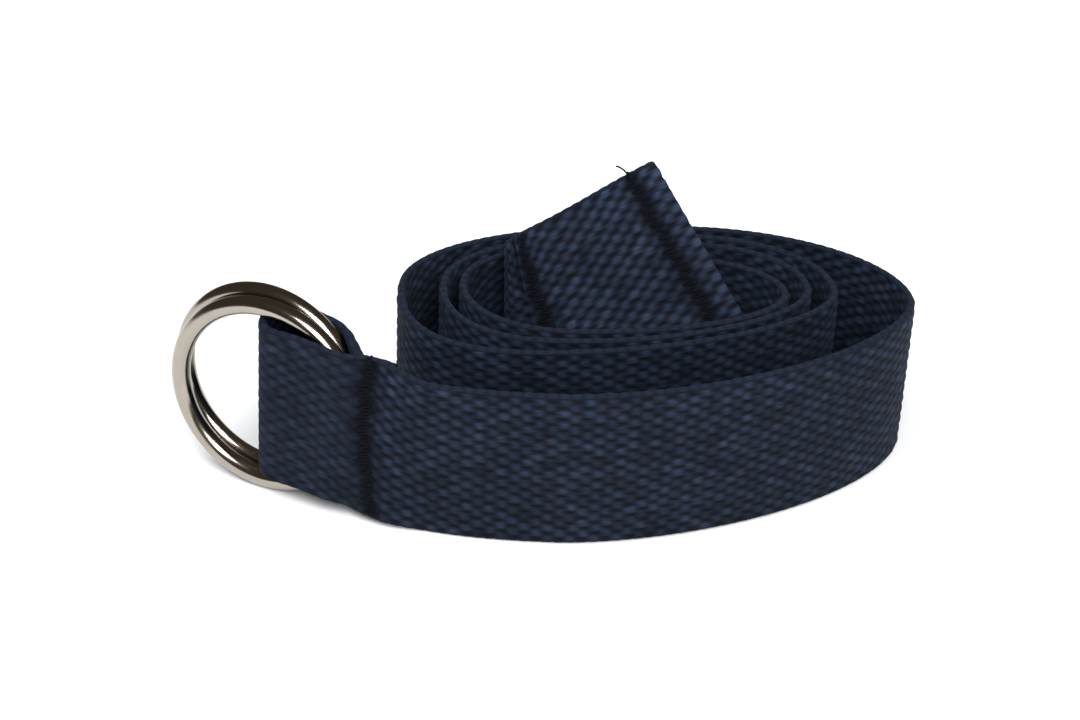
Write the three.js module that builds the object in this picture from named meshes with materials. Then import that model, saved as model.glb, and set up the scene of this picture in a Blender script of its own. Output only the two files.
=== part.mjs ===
// Double ring belt: one long strap of cotton webbing, loosely coiled and standing on its edge,
// with two round metal rings held in a sewn loop at its outer end and a hemmed free end that
// rises out of the middle of the coil.
//
// Units are millimetres, +Z is up, +X runs along the coil and -Y is the front.
// The strap is worked out as one curved middle surface, a row of ribs from the short tail behind
// the loop to the raw edge of the hem, and that surface is then given the webbing's thickness.

import * as THREE from "three";

// Webbing
const WEBBING_WIDTH = 38;
const WEBBING_THICKNESS = 2;
const LAYER_GAP = 0.3; // air left between two layers of webbing that lie on each other

// Rings
const RING_WIRE = 4.2; // diameter of the round wire
const RING_CLEARANCE = 0.4; // room between the webbing's edge and the ring, above and below
const RING_LEAN = THREE.MathUtils.degToRad(3); // the rings lean back with the loop
const RING_PAIR_SPACING = 5.3; // from the middle of one ring to the middle of the other
const RING_PAIR_STAGGER = 2.4; // the front ring sits this much nearer to the seam
const RING_PAIR_SPLAY = THREE.MathUtils.degToRad(1.5); // the rings open towards their free side
const RING_AZIMUTH_SEGMENTS = 56;
const RING_WIRE_SEGMENTS = 14;

// Loop that holds the rings
const LOOP_HEADING = THREE.MathUtils.degToRad(-23); // from the fold to the seam, seen from above
const FOLD_PLACE = -1.2; // outside of the fold, along the loop from the rings' middle
const FOLD_NOSE = 5.5; // length of the rounded end of the loop
const LOOP_ROOM = 0.5; // room between each ring and the webbing beside it
const SEAM_SHIFT = 2.4; // the layers close up this far in front of the rings' middle
const FRONT_CLOSING = 5; // the front layer comes in over this length, past the rings
const BACK_OPENING = 1.4; // the back layer starts to come in this far out from the back ring's middle line
const BACK_CLOSING = 6.8; // and has come in after this distance more
const CLOSING_HEIGHT = 0.8; // share of the ring's radius up to which the wire's curve is followed
const SEAM_PLACE = 28; // from the rings' middle to the line of stitches
const TAIL_PAST_SEAM = 3;
const SEAM_LEAN = THREE.MathUtils.degToRad(8); // the strap leans back where it is sewn
const LEAN_FADE = 14; // the strap stands upright again this far past the seam

// Coil, measured over the outside of its outer turn
const COIL_LENGTH = 117;
const COIL_DEPTH = 78;
const COIL_LEFT = 26.9; // from the rings' middle to the coil's left end
const COIL_FRONT = -21.8; // from the rings' middle to the coil's front

// Free end
const HEM_LENGTH = 40; // length of the layer that is folded back over the front face
const HEM_FLARE = 0.07; // the doubled end is this share wider at its tip
const FLAT_LENGTH = 32; // the last stretch, which is straight and flat
const RISE_START = THREE.MathUtils.degToRad(10); // the strap's rise where it leaves the innermost turn
const RISE_FULLNESS = 0.45; // roundness of the bend there
const FREE_END_HEADING = THREE.MathUtils.degToRad(16.5);
const FREE_END_RISE = THREE.MathUtils.degToRad(23.6);
const FREE_END_LEAN = THREE.MathUtils.degToRad(35);
const TIP_SKEW = THREE.MathUtils.degToRad(4); // the tip's lower corner reaches further than the upper

// One row for each quarter turn of the coil, from the outside in. The strap touches the side
// named in the row at `place`, a share of the coil's length on front and back and of its depth on
// right and left. `room` is the free width to the turn outside, as a share of the coil's depth.
// `fullness` is the exponent of the curve that leads there: 2 is an ellipse, more is squarer.
// Only the last quarter leaves the table: LAST_LIFT is how far its lower edge has risen at its end.
const QUARTER_TURNS = [
  { side: "front", place: 0.32, room: 0.0, fullness: 2.0 },
  { side: "right", place: 0.6, room: 0.0, fullness: 1.62 },
  { side: "back", place: 0.585, room: 0.0, fullness: 1.95 },
  { side: "left", place: 0.577, room: 0.0, fullness: 2.1 },
  { side: "front", place: 0.25, room: 0.19, fullness: 2.4 },
  { side: "right", place: 0.63, room: 0.19, fullness: 1.65 },
  { side: "back", place: 0.57, room: 0.02, fullness: 2.1 },
  { side: "left", place: 0.59, room: 0.09, fullness: 2.2 },
  { side: "front", place: 0.3, room: 0.038, fullness: 2.2 },
  { side: "right", place: 0.64, room: 0.048, fullness: 1.75 },
  { side: "back", place: 0.57, room: 0.02, fullness: 2.1 },
  { side: "left", place: 0.61, room: 0.027, fullness: 2.2 },
  { side: "front", place: 0.33, room: 0.026, fullness: 2.1 },
  { side: "right", place: 0.61, room: 0.038, fullness: 1.8 },
  { side: "back", place: 0.55, room: 0.06, fullness: 2.0 },
  { side: "left", place: 0.72, room: 0.1, fullness: 2.0 },
];
const LAST_LIFT = 5;

// Where the middle of the free end's tip lies: shares of the coil's length and depth, and of the
// webbing's width for the height.
const TIP_PLACE = { along: 0.578, across: 0.718, height: 1.226 };

// Fineness of the strap's mesh
const RIB_PANELS = 6; // panels across the webbing
const COIL_STEP = 5;
const LOOP_STEP = 2;
const HEM_STEP = 5;
const FOLD_STEPS = 8; // steps round each tight fold
const CURVE_GUIDES = 40; // points that a curve is measured by before it is divided evenly

const UP = new THREE.Vector3(0, 0, 1);
const smooth = (x) => THREE.MathUtils.smoothstep(x, 0, 1);
const mix = THREE.MathUtils.lerp;
const steps = (length, step) => Math.max(2, Math.round(length / step));

const webbing = new THREE.MeshStandardMaterial({ name: "webbing", color: 0x262d3f, roughness: 0.95, metalness: 0 });
const ringMetal = new THREE.MeshStandardMaterial({ name: "ring_metal", color: 0xb8ab98, roughness: 0.22, metalness: 1 });

const ringInside = WEBBING_WIDTH / 2 + RING_CLEARANCE;
const ringMiddle = ringInside + RING_WIRE / 2;
const ringOutside = ringInside + RING_WIRE;
const layerPitch = WEBBING_THICKNESS + LAYER_GAP;

// Each rib is a row of points up the webbing, from its lower to its upper edge. `height` runs
// from -1 at the lower edge to 1 at the upper one.
function ribHeights() {
  return Array.from({ length: RIB_PANELS + 1 }, (_, j) => (2 * j) / RIB_PANELS - 1);
}

function straightRib(middle, up, width = WEBBING_WIDTH) {
  return ribHeights().map((height) => middle.clone().addScaledVector(up, (height * width) / 2));
}

// Ring loop
const loopAxis = new THREE.Vector3(Math.cos(LOOP_HEADING), Math.sin(LOOP_HEADING), 0);
const loopSide = new THREE.Vector3().crossVectors(UP, loopAxis); // towards the back layer
const foldStart = FOLD_PLACE + WEBBING_THICKNESS / 2;
const tailEnd = SEAM_PLACE + TAIL_PAST_SEAM;
const foldLift = RING_WIRE + RING_CLEARANCE;

// The strap's lower edge clears the rings' wires at the fold and comes down to the table past
// them. The back layer comes down sooner than the front one and is down at the end of the tail.
function loopLift(along, side) {
  const start = side > 0 ? 0 : ringMiddle / 3;
  const end = side > 0 ? tailEnd : SEAM_PLACE + LEAN_FADE;
  return foldLift * (1 - smooth((along - start) / (end - start)));
}

// How far the strap leans back: like the rings beside them, most at the seam, upright on the coil.
function loopLean(along) {
  const rise = smooth((along - ringMiddle) / (SEAM_PLACE - ringMiddle));
  const fall = smooth((along - SEAM_PLACE) / LEAN_FADE);
  return mix(RING_LEAN, SEAM_LEAN, rise) * (1 - fall);
}

// How far a layer has come in, from 0 beside the rings to 1 where the two layers lie together, at
// a place along the loop and a height above the table. Both come in sooner at the edges, where
// the rings reach less far. The back layer has further to go and bends round the back ring's wire.
const loopHalf = (RING_PAIR_SPACING + RING_WIRE + WEBBING_THICKNESS) / 2 + LOOP_ROOM;
function loopClosed(along, z, side) {
  if (side > 0) {
    const offRingMiddle = Math.min(Math.abs(z - ringOutside), CLOSING_HEIGHT * ringMiddle);
    const fromWire = Math.hypot(along + RING_PAIR_STAGGER / 2, offRingMiddle) - ringMiddle;
    return smooth((fromWire - BACK_OPENING) / BACK_CLOSING);
  }
  const fromRingMiddle = Math.max(Math.abs(z - ringOutside) - RING_WIRE / 3, 0);
  const ringReach = Math.sqrt(ringOutside ** 2 - fromRingMiddle ** 2) + RING_PAIR_STAGGER / 2;
  return smooth((along - ringReach + RING_WIRE / 4) / FRONT_CLOSING);
}

function loopPoint(along, height, side) {
  const lean = loopLean(along);
  const up = (height * WEBBING_WIDTH) / 2;
  const z = loopLift(along, side) + WEBBING_WIDTH / 2 + up * Math.cos(lean);
  const closed = loopClosed(along, z, side);
  const inNose = THREE.MathUtils.clamp((along - foldStart) / FOLD_NOSE, 0, 1);
  const rounding = Math.sqrt(1 - (1 - inNose) ** 2);
  const fromMiddle = side * rounding * mix(loopHalf, layerPitch / 2, closed) - SEAM_SHIFT * closed;
  return new THREE.Vector3(0, 0, z)
    .addScaledVector(loopAxis, along)
    .addScaledVector(loopSide, fromMiddle + up * Math.sin(lean));
}

function loopRib(along, side) {
  return ribHeights().map((height) => loopPoint(along, height, side));
}

// Places along one layer, from the very fold to the end of the tail.
function layerPlaces() {
  const places = [];
  for (let k = 1; k <= FOLD_STEPS; k++) {
    places.push(foldStart + FOLD_NOSE * (1 - Math.cos((k / FOLD_STEPS) * (Math.PI / 2))));
  }
  const straight = tailEnd - foldStart - FOLD_NOSE;
  const count = steps(straight, LOOP_STEP);
  for (let k = 1; k <= count; k++) {
    places.push(foldStart + FOLD_NOSE + (straight * k) / count);
  }
  return places;
}

function loopRibs() {
  const places = layerPlaces();
  const back = [...places].reverse().map((along) => loopRib(along, 1));
  const front = places.map((along) => loopRib(along, -1));
  return [...back, loopRib(foldStart, 0), ...front];
}

// Coil
// The strap's middle line at the end of one quarter turn, seen from above. `insets` holds how far
// each side of the present turn lies inside the outer size.
function quarterEnd(row, insets) {
  insets[row.side] += row.room * COIL_DEPTH;
  const left = COIL_LEFT + insets.left;
  const right = COIL_LEFT + COIL_LENGTH - insets.right;
  const front = COIL_FRONT + insets.front;
  const back = COIL_FRONT + COIL_DEPTH - insets.back;
  const x = COIL_LEFT + row.place * COIL_LENGTH;
  const y = COIL_FRONT + row.place * COIL_DEPTH;
  insets[row.side] += layerPitch;
  return { front: [x, front], right: [right, y], back: [x, back], left: [left, y] }[row.side];
}

const quarterEnds = (() => {
  const half = WEBBING_THICKNESS / 2;
  const insets = { front: half, right: half, back: half, left: half };
  return QUARTER_TURNS.map((row) => new THREE.Vector2(...quarterEnd(row, insets)));
})();

// A quarter of a rounded box between two places, where `toSide` says that it ends on the right or
// the left. Its two ends run along X and Y.
function quarterPoint(from, to, toSide, fullness, share) {
  const angle = (share * Math.PI) / 2;
  const far = Math.sin(angle) ** (2 / fullness);
  const near = 1 - Math.cos(angle) ** (2 / fullness);
  const x = mix(from.x, to.x, toSide ? far : near);
  const y = mix(from.y, to.y, toSide ? near : far);
  return new THREE.Vector3(x, y, WEBBING_WIDTH / 2);
}

// Points at even distances along a curve given as a function of a share from 0 to 1, without its
// first point, and each with its share of the curve's length.
function evenPoints(curvePoint, step) {
  const guides = Array.from({ length: CURVE_GUIDES + 1 }, (_, k) => curvePoint(k / CURVE_GUIDES));
  const fine = new THREE.CatmullRomCurve3(guides);
  const count = steps(fine.getLength(), step);
  return Array.from({ length: count }, (_, k) => {
    const share = (k + 1) / count;
    return { point: fine.getPointAt(share), share };
  });
}

// A smooth curve between two points with a direction at each. `fullness` is how far each
// direction is held, as a share of the distance between the points.
function blendPoint(from, fromDirection, to, toDirection, share, fullness = 1 / 3) {
  const pull = from.distanceTo(to) * fullness;
  const curve = new THREE.CubicBezierCurve3(
    from,
    from.clone().addScaledVector(fromDirection, pull),
    to.clone().addScaledVector(toDirection, -pull),
    to,
  );
  return curve.getPoint(share);
}

// From the end of the tail to the coil's foremost point.
function approachRibs() {
  const start = new THREE.Vector3(0, 0, WEBBING_WIDTH / 2)
    .addScaledVector(loopAxis, tailEnd)
    .addScaledVector(loopSide, -layerPitch / 2 - SEAM_SHIFT);
  const end = new THREE.Vector3(quarterEnds[0].x, quarterEnds[0].y, WEBBING_WIDTH / 2);
  const across = new THREE.Vector3(1, 0, 0);
  const reach = end.clone().sub(start).dot(loopAxis);
  return evenPoints((share) => blendPoint(start, loopAxis, end, across, share), COIL_STEP).map(({ point, share }) => {
    const along = tailEnd + reach * share;
    const lean = loopLean(along);
    const up = UP.clone().multiplyScalar(Math.cos(lean)).addScaledVector(loopSide, Math.sin(lean));
    return straightRib(point.addScaledVector(UP, loopLift(along, -1)), up);
  });
}

function coilRibs() {
  return QUARTER_TURNS.slice(1).flatMap((row, k) => {
    const toSide = row.side === "right" || row.side === "left";
    const curve = (share) => quarterPoint(quarterEnds[k], quarterEnds[k + 1], toSide, row.fullness, share);
    const lift = k + 2 === QUARTER_TURNS.length ? LAST_LIFT : 0;
    return ribsAlong(liftedBy(curve, lift), COIL_STEP);
  });
}

// The same curve, rising ever more steeply to `lift` at its end.
function liftedBy(curve, lift) {
  return (share) => curve(share).addScaledVector(UP, lift * share ** 2);
}

// Ribs at even steps along a curve, each square to the strap's direction there.
function ribsAlong(curve, step) {
  const points = evenPoints(curve, step);
  return points.map(({ point }, k) => {
    const before = k === 0 ? curve(0) : points[k - 1].point;
    const ahead = k === points.length - 1 ? point.clone().multiplyScalar(2).sub(before) : points[k + 1].point;
    const direction = ahead.clone().sub(before).normalize();
    return straightRib(point, leaningUp(direction, 0));
  });
}

// Free end
const freeEndDirection = new THREE.Vector3(
  Math.cos(FREE_END_RISE) * Math.cos(FREE_END_HEADING),
  Math.cos(FREE_END_RISE) * Math.sin(FREE_END_HEADING),
  Math.sin(FREE_END_RISE),
);
const tipMiddle = new THREE.Vector3(
  COIL_LEFT + TIP_PLACE.along * COIL_LENGTH,
  COIL_FRONT + TIP_PLACE.across * COIL_DEPTH,
  TIP_PLACE.height * WEBBING_WIDTH,
);
const flatStart = tipMiddle.clone().addScaledVector(freeEndDirection, -FLAT_LENGTH);

// The webbing's upward direction where the strap runs along `direction` and leans back by `lean`.
function leaningUp(direction, lean) {
  const upright = UP.clone().addScaledVector(direction, -UP.dot(direction)).normalize();
  return upright.applyAxisAngle(direction, -lean);
}

const flatUp = leaningUp(freeEndDirection, FREE_END_LEAN);
const flatFace = new THREE.Vector3().crossVectors(freeEndDirection, flatUp);
const tipUp = flatUp.clone().addScaledVector(freeEndDirection, -Math.tan(TIP_SKEW));

// The stretch that leaves the innermost turn, bends to the right and climbs, while it turns from
// standing upright to lying back.
function risingRibs() {
  const last = quarterEnds[quarterEnds.length - 1];
  const start = new THREE.Vector3(last.x, last.y, WEBBING_WIDTH / 2 + LAST_LIFT);
  const leaving = new THREE.Vector3(0, -Math.cos(RISE_START), Math.sin(RISE_START));
  const curve = (share) => blendPoint(start, leaving, flatStart, freeEndDirection, share, RISE_FULLNESS);
  const startUp = leaningUp(leaving, 0);
  return evenPoints(curve, COIL_STEP / 2).map(({ point, share }) =>
    straightRib(point, startUp.clone().lerp(flatUp, smooth(share)).normalize()),
  );
}

function flatRib(fromStart, offFace) {
  const towardsTip = smooth(fromStart / FLAT_LENGTH);
  const up = flatUp.clone().lerp(tipUp, towardsTip);
  const middle = flatStart
    .clone()
    .addScaledVector(freeEndDirection, fromStart)
    .addScaledVector(flatFace, offFace);
  return straightRib(middle, up, WEBBING_WIDTH * (1 + HEM_FLARE * towardsTip));
}

// The ribs within HEM_LENGTH of the tip, from the tip back, laid on the face of the layer below.
function turnedBackRibs(layer) {
  const middle = RIB_PANELS / 2;
  let fromTip = 0;
  const turned = [];
  for (let i = layer.length - 1; fromTip < HEM_LENGTH && i > 0; i--) {
    turned.push(layer[i].map((point, j) => point.clone().addScaledVector(surfaceNormal(layer, i, j), layerPitch)));
    fromTip += layer[i][middle].distanceTo(layer[i - 1][middle]);
  }
  return turned;
}

// Up and out to the tip, round the fold and back over the face that looks to the front.
function freeEndRibs() {
  const foldRadius = layerPitch / 2;
  const straight = FLAT_LENGTH - foldRadius - WEBBING_THICKNESS / 2;
  const count = steps(straight, HEM_STEP);
  const flat = Array.from({ length: count }, (_, k) => flatRib((straight * (k + 1)) / count, 0));
  const fold = Array.from({ length: FOLD_STEPS - 1 }, (_, k) => {
    const angle = ((k + 1) / FOLD_STEPS) * Math.PI;
    return flatRib(straight + foldRadius * Math.sin(angle), foldRadius * (1 - Math.cos(angle)));
  });
  const layer = [...risingRibs(), ...flat];
  return [...layer, ...fold, ...turnedBackRibs(layer)];
}

// Thickness
// The direction out of the middle surface at rib i and point j, from its neighbours.
function surfaceNormal(ribs, i, j) {
  const along = ribs[Math.min(i + 1, ribs.length - 1)][j].clone().sub(ribs[Math.max(i - 1, 0)][j]);
  const rib = ribs[i];
  const up = rib[Math.min(j + 1, rib.length - 1)].clone().sub(rib[Math.max(j - 1, 0)]);
  return along.cross(up).normalize();
}

// A closed body: the outer and the inner face of each rib make one ring of points, and the two
// end ribs are capped.
function thickened(ribs, thickness) {
  const perRib = ribs[0].length;
  const around = 2 * perRib;
  const positions = [];
  ribs.forEach((rib, i) => {
    const faces = [1, -1].map((side) =>
      rib.map((point, j) => point.clone().addScaledVector(surfaceNormal(ribs, i, j), (side * thickness) / 2)),
    );
    [...faces[0], ...faces[1].reverse()].forEach((p) => positions.push(p.x, p.y, p.z));
  });

  const indices = [];
  for (let i = 0; i + 1 < ribs.length; i++) {
    for (let k = 0; k < around; k++) {
      const a = i * around + k;
      const b = i * around + ((k + 1) % around);
      indices.push(a, a + around, b, b, a + around, b + around);
    }
  }
  const lastRib = (ribs.length - 1) * around;
  for (let j = 0; j + 1 < perRib; j++) {
    const mirror = around - 1 - j;
    indices.push(j, j + 1, mirror, mirror, j + 1, mirror - 1);
    indices.push(lastRib + j, lastRib + mirror, lastRib + j + 1);
    indices.push(lastRib + mirror, lastRib + mirror - 1, lastRib + j + 1);
  }

  const geometry = new THREE.BufferGeometry();
  geometry.setAttribute("position", new THREE.Float32BufferAttribute(positions, 3));
  geometry.setIndex(indices);
  geometry.computeVertexNormals();
  return geometry;
}

function makeStrap() {
  const ribs = [...loopRibs(), ...approachRibs(), ...coilRibs(), ...freeEndRibs()];
  const strap = new THREE.Mesh(thickened(ribs, WEBBING_THICKNESS), webbing);
  strap.name = "strap";
  return strap;
}

// The front ring has side -1 and the back one side 1. Both stand on the table.
function makeRing(name, side) {
  const ring = new THREE.Mesh(
    new THREE.TorusGeometry(ringMiddle, RING_WIRE / 2, RING_WIRE_SEGMENTS, RING_AZIMUTH_SEGMENTS),
    ringMetal,
  );
  ring.name = name;
  const heading = LOOP_HEADING - (side * RING_PAIR_SPLAY) / 2;
  ring.rotation.set(Math.PI / 2 - RING_LEAN, 0, heading, "ZYX");
  ring.position
    .addScaledVector(loopSide, (side * RING_PAIR_SPACING) / 2)
    .addScaledVector(loopAxis, (-side * RING_PAIR_STAGGER) / 2);
  ring.position.z = ringMiddle * Math.cos(RING_LEAN) + RING_WIRE / 2;
  return ring;
}

const belt = new THREE.Group();
belt.add(makeStrap(), makeRing("ring_front", -1), makeRing("ring_back", 1));

// The origin lies below the middle of the belt's overall box, at the height of the table.
const overall = new THREE.Box3().setFromObject(belt);
const middle = overall.getCenter(new THREE.Vector3());
belt.position.set(-middle.x, -middle.y, 0);

export default belt;
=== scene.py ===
# %% [markdown]
# # A double ring belt
# The belt is one long strap of navy cotton webbing. One end is folded into a sewn loop that holds
# two round metal rings, and the rest stands on its edge in a loose coil, with its hemmed free end
# rising out of the middle. The imported part gives the frame that everything is built around, and
# it is loaded first. The dressed belt may not outgrow it.

# %% Load the imported part
import math

import bpy
import numpy as np
from mathutils import Matrix, Vector


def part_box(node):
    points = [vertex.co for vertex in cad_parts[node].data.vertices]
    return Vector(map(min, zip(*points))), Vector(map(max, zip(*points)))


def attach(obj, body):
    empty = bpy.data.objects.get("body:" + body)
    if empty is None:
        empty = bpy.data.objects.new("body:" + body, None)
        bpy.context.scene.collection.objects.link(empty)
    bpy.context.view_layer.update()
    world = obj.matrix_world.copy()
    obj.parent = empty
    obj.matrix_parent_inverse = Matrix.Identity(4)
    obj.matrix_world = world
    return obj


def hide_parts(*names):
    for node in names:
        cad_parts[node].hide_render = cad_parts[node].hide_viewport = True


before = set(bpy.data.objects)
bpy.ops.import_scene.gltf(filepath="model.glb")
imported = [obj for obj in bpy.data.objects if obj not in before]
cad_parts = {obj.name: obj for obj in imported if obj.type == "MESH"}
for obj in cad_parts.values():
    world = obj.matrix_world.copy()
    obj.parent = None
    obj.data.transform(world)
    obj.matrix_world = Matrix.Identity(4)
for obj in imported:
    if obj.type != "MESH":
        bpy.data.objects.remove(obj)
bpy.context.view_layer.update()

# %% [markdown]
# ## The camera
# A product photograph like this one is taken from a little above, with a long lens. The camera
# could be placed by eye, but its place was worked out from the strap's edges and the two rings,
# so that the coil's ovals have the right height against their width. The image is slightly
# rolled, and a roll is easiest to give by building the camera's three directions by hand.

# %% Camera
CAMERA_PLACE = Vector((-0.0008, -0.4616, 0.3092))
CAMERA_PITCH = math.radians(31.82)
CAMERA_ROLL = math.radians(2.34)
CAMERA_LENS = 80.0
SENSOR_WIDTH = 36.0


def add_camera():
    forward = Vector((0, math.cos(CAMERA_PITCH), -math.sin(CAMERA_PITCH)))
    level_right = Vector((1, 0, 0))
    level_up = level_right.cross(forward)
    right = level_right * math.cos(CAMERA_ROLL) + level_up * math.sin(CAMERA_ROLL)
    up = level_up * math.cos(CAMERA_ROLL) - level_right * math.sin(CAMERA_ROLL)
    data = bpy.data.cameras.new("camera")
    data.lens = CAMERA_LENS
    data.sensor_width = SENSOR_WIDTH
    data.clip_start = 0.01
    data.clip_end = 20.0
    camera = bpy.data.objects.new("camera", data)
    turned = Matrix((right, up, -forward)).transposed().to_4x4()
    camera.matrix_world = Matrix.Translation(CAMERA_PLACE) @ turned
    bpy.context.scene.collection.objects.link(camera)
    bpy.context.scene.camera = camera
    return camera


camera = add_camera()
print("camera", round(CAMERA_PLACE.length, 3), "m from the belt")

# %% [markdown]
# ## Floor and light
# The belt was photographed on white. A wide pale floor under large soft lamps gives the same
# look, and it is also what the rings mirror: their lower halves show the floor. Their upper
# halves show the dark room between the lamps, but the same room would leave the coil's inside
# black. So the sky has two parts: a pale one that lights the cloth and the floor, and a dark
# brown one that is seen only in mirrors. A lamp's row gives its place, its size, its power, its
# tint and whether mirrors show it. Only the one over the camera is mirrored: it puts a few short
# highlights on the wire, and the others would wash its top out. That lamp is also the strongest,
# because light from the camera's side reaches whatever the camera sees inside the coil.

# %% Floor
FLOOR_SIZE = 6.0
FLOOR_DROP = 0.0001
FLOOR_COLOR = (0.72, 0.72, 0.72, 1)
FLOOR_ROUGHNESS = 0.9


def new_material(name):
    """A material with nodes, its node tree and the inputs of its own shader."""
    material = bpy.data.materials.new(name)
    material.use_nodes = True
    tree = material.node_tree
    return material, tree, tree.nodes["Principled BSDF"].inputs


def add_floor():
    half = FLOOR_SIZE / 2
    mesh = bpy.data.meshes.new("floor")
    square = ((-1, -1), (1, -1), (1, 1), (-1, 1))
    corners = [(x * half, y * half, -FLOOR_DROP) for x, y in square]
    mesh.from_pydata(corners, [], [(0, 1, 2, 3)])
    floor = bpy.data.objects.new("floor", mesh)
    bpy.context.scene.collection.objects.link(floor)
    material, _, shader = new_material("floor_white")
    shader["Base Color"].default_value = FLOOR_COLOR
    shader["Roughness"].default_value = FLOOR_ROUGHNESS
    mesh.materials.append(material)
    return floor


floor = add_floor()
print("floor", FLOOR_SIZE, "m wide, in", floor.data.materials[0].name)

# %% Lights and sky
LIGHTS = {
    "key": ((-0.42, -0.25, 0.85), 0.55, 6.0, (1.0, 0.985, 0.96), False),
    "front_fill": ((0.12, -0.75, 0.82), 0.6, 13.0, (0.97, 0.985, 1.0), True),
    "right_rim": ((0.75, 0.35, 0.55), 0.4, 3.5, (1.0, 0.99, 0.97), False),
}
LIGHT_AIM = Vector((0, 0, 0.02))
SKY_TINT = (0.93, 0.96, 1.0)
SKY_STRENGTH = 0.7
MIRRORED_ROOM = (0.075, 0.058, 0.044)


def add_light(name, place, size, power, tint, mirrored):
    data = bpy.data.lights.new(name, "AREA")
    data.shape = "SQUARE"
    data.size = size
    data.energy = power
    data.color = tint
    lamp = bpy.data.objects.new(name, data)
    lamp.location = place
    aim = LIGHT_AIM - lamp.location
    lamp.rotation_mode = "QUATERNION"
    lamp.rotation_quaternion = aim.to_track_quat("-Z", "Y")
    lamp.visible_glossy = mirrored
    bpy.context.scene.collection.objects.link(lamp)
    return lamp


def add_sky():
    world = bpy.data.worlds.new("sky")
    world.use_nodes = True
    nodes, links = world.node_tree.nodes, world.node_tree.links
    background = nodes["Background"]
    background.inputs["Color"].default_value = (*SKY_TINT, 1)
    background.inputs["Strength"].default_value = SKY_STRENGTH
    room = nodes.new("ShaderNodeBackground")
    room.inputs["Color"].default_value = (*MIRRORED_ROOM, 1)
    ray = nodes.new("ShaderNodeLightPath")
    choice = nodes.new("ShaderNodeMixShader")
    links.new(ray.outputs["Is Glossy Ray"], choice.inputs["Fac"])
    links.new(background.outputs["Background"], choice.inputs[1])
    links.new(room.outputs["Background"], choice.inputs[2])
    links.new(choice.outputs["Shader"], nodes["World Output"].inputs["Surface"])
    bpy.context.scene.world = world


lamps = [add_light(name, *values) for name, values in LIGHTS.items()]
add_sky()
bpy.context.scene.view_settings.view_transform = "Standard"
print("lights:", [lamp.name for lamp in lamps])

# %% [markdown]
# ## Sizes
# Belt webbing of this kind is 38 mm wide and 2 mm thick. The named sizes are those of the solid
# part, in millimetres, so that the cloth built here lies where the part's strap lies. Each row
# of the table is one turn of the coil, from the outside in. It has three values for each side,
# front, right, back and left: where on that side the strap touches it, the free room to the turn
# outside, and how square the corner before it is.

# %% Sizes of the belt
MM = 0.001
WEBBING_WIDTH = 38.0
WEBBING_THICKNESS = 2.0
LAYER_PITCH = 2.3
RING_WIRE = 4.2
RING_INSIDE = 19.4
RING_MIDDLE = RING_INSIDE + RING_WIRE / 2
RING_OUTSIDE = RING_INSIDE + RING_WIRE
RING_LEAN = math.radians(3)
RING_PAIR_SPACING = 5.3
RING_PAIR_STAGGER = 2.4
RING_PAIR_SPLAY = math.radians(1.5)
LOOP_HEADING = math.radians(-23)
FOLD_PLACE = -1.2
FOLD_NOSE = 5.5
LOOP_HALF = (RING_PAIR_SPACING + RING_WIRE + WEBBING_THICKNESS) / 2 + 0.5
SEAM_SHIFT = 2.4
BACK_OPENING = 0.5
BACK_CLOSING = 6.2
CLOSING_HEIGHT = 0.8
SEAM_PLACE = 28.0
TAIL_PAST_SEAM = 3.0
SEAM_LEAN = math.radians(8)
LEAN_FADE = 14.0
FOLD_LIFT = 4.6
COIL_LENGTH = 117.0
COIL_DEPTH = 78.0
COIL_LEFT = 26.9
COIL_FRONT = -21.8
LAST_LIFT = 5.0
HEM_LENGTH = 40.0
HEM_FLARE = 0.07
FLAT_LENGTH = 32.0
RISE_START = math.radians(10)
RISE_FULLNESS = 0.45
FREE_END_HEADING = math.radians(16.5)
FREE_END_RISE = math.radians(23.6)
FREE_END_LEAN = math.radians(35)
TIP_SKEW = math.radians(4)
TIP_MIDDLE = np.array(
    [COIL_LEFT + 0.578 * COIL_LENGTH, COIL_FRONT + 0.718 * COIL_DEPTH, 1.226 * WEBBING_WIDTH]
)
SIDE_ORDER = ("front", "right", "back", "left")
COIL_TURNS = (
    ((0.32, 0.0, 2.0), (0.6, 0.0, 1.62), (0.585, 0.0, 1.95), (0.577, 0.0, 2.1)),
    ((0.25, 0.19, 2.4), (0.63, 0.19, 1.65), (0.57, 0.02, 2.1), (0.59, 0.09, 2.2)),
    ((0.3, 0.038, 2.2), (0.64, 0.048, 1.75), (0.57, 0.02, 2.1), (0.61, 0.027, 2.2)),
    ((0.33, 0.026, 2.1), (0.61, 0.038, 1.8), (0.55, 0.06, 2.0), (0.72, 0.1, 2.0)),
)
QUARTER_TURNS = [(side, *row) for turn in COIL_TURNS for side, row in zip(SIDE_ORDER, turn)]
print(len(COIL_TURNS), "turns of", WEBBING_WIDTH, "mm webbing")

# %% [markdown]
# ## The strap's path
# The strap could be one curve with a flat profile swept along it, but it leans, twists and
# doubles back on itself, and its width has to stay where the real cloth is. So it is a row of
# ribs instead: each rib is a line of points up the webbing, from its lower to its upper edge, and
# the ribs follow each other from the tail behind the loop to the raw edge of the hem. These
# helpers ease between values, lay a straight rib, and space points evenly along a curve.

# %% Helpers for ribs
RIB_POINTS = 25
CURVE_SAMPLES = 401
HEIGHTS = np.linspace(-1, 1, RIB_POINTS)
UP = np.array([0.0, 0.0, 1.0])


def smooth(x):
    x = np.clip(x, 0.0, 1.0)
    return x * x * (3 - 2 * x)


def mix(a, b, share):
    return a + (b - a) * share


def unit(vector):
    return vector / np.linalg.norm(vector, axis=-1, keepdims=True)


def towards(heading, rise=0.0):
    """A direction, by its turn over the table from the x axis and its rise off the level."""
    level = math.cos(rise)
    return np.array([level * math.cos(heading), level * math.sin(heading), math.sin(rise)])


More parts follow.
